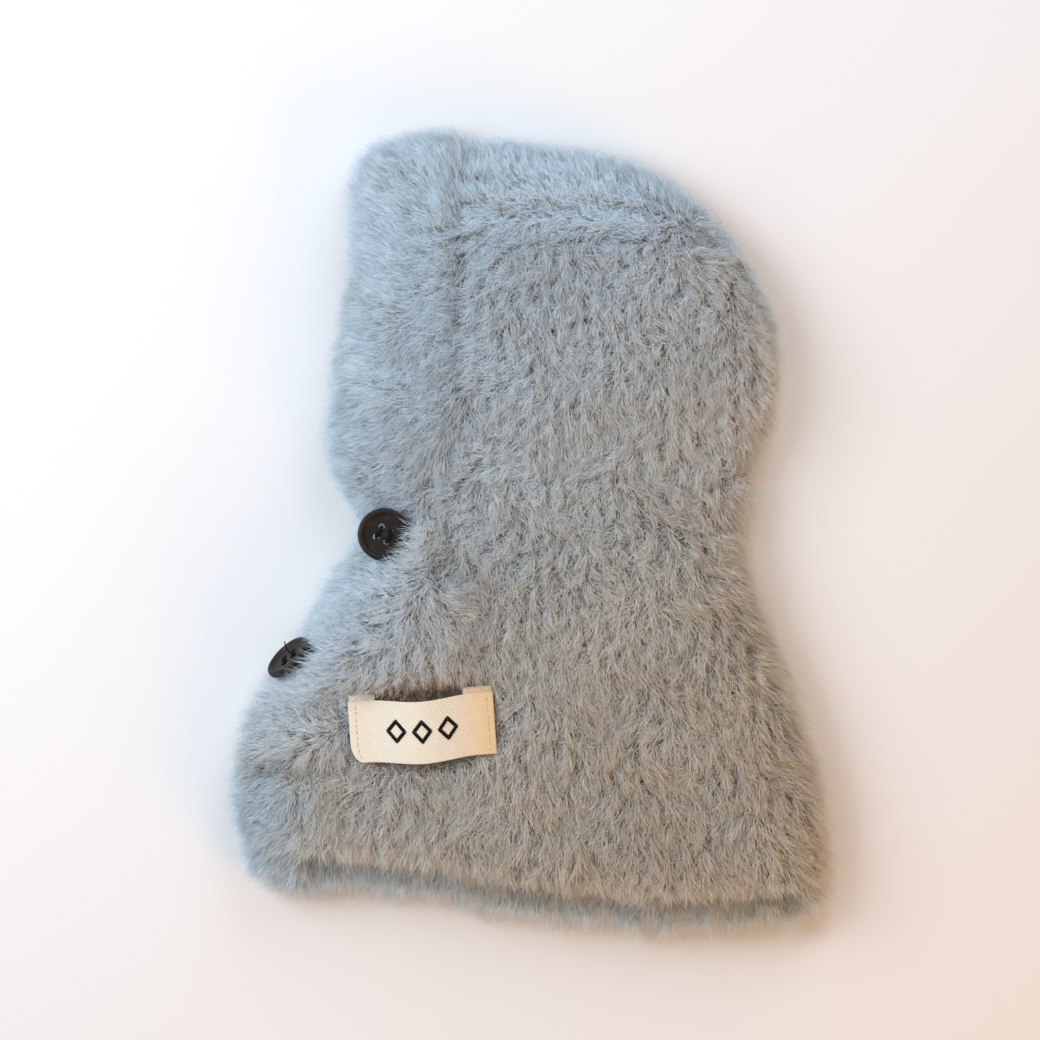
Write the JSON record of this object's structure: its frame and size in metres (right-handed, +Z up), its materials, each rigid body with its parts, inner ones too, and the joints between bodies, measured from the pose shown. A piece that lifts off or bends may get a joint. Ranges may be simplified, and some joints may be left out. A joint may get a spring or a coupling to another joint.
{
  "type": "balaclava hood",
  "caption": "Child's fluffy knitted balaclava hood with shoulder cape, lying flat: gusseted crown, deep brim band, buttoned front placket and a sewn cloth label.",
  "frame": {"origin": "on the surface the hood lies on, under the middle of its outline", "axes": "+Y from the hem to the crown, +X from the face opening to the back of the head, +Z up from the surface, out of the wearer's left side"},
  "size_m": [0.2229, 0.3009, 0.0381],
  "materials": {
    "pile_knit": "long soft pile, combed outward, on a knitted ground",
    "seam_thread": "textured overlock thread",
    "button_resin": "dark brown-black cast resin, soft gloss",
    "button_thread": "dark spun polyester thread",
    "cotton_twill": "cream twill tape, matt",
    "label_thread": "cream spun thread"
  },
  "bodies": {
    "cape": {"cape_left_panel": "pile_knit", "cape_right_panel": "pile_knit", "buttonhole_placket": "pile_knit", "button_placket": "pile_knit", "neck_seam_left": "seam_thread", "neck_seam_right": "seam_thread", "placket_seam_left": "seam_thread", "placket_seam_right": "seam_thread", "cape_back_seam": "seam_thread", "top_buttonhole_stitch": "seam_thread", "lower_buttonhole_stitch": "seam_thread", "woven_label": "cotton_twill", "label_stitch_front": "label_thread", "label_stitch_back": "label_thread"},
    "hood": {"brim_band": "pile_knit", "crown_gusset": "pile_knit", "hood_left_panel": "pile_knit", "hood_right_panel": "pile_knit", "brim_seam_left": "seam_thread", "brim_seam_right": "seam_thread", "gusset_seam_left": "seam_thread", "gusset_seam_right": "seam_thread"},
    "top_button": {"top_button": "button_resin", "top_button_thread": "button_thread"},
    "lower_button": {"lower_button": "button_resin", "lower_button_thread": "button_thread"}
  },
  "joints": [
    {"name": "hood_fold", "type": "hinge", "parent": "cape", "child": "hood", "pos_m": [0, 0.018, 0.026], "axis": [1, 0, 0], "range_deg": [0, 110]},
    {"name": "top_button_tilt", "type": "hinge", "parent": "cape", "child": "top_button", "pos_m": [-0.05566, -0.002, 0.01785], "axis": [-0.9945, 0, 0.1045], "range_deg": [-8, 8], "stiffness_Nm_per_rad": 0.003},
    {"name": "lower_button_tilt", "type": "hinge", "parent": "cape", "child": "lower_button", "pos_m": [-0.0861, -0.05406, 0.01348], "axis": [-0.2472, 0.2814, -0.9272], "range_deg": [-8, 8], "stiffness_Nm_per_rad": 0.003}
  ]
}
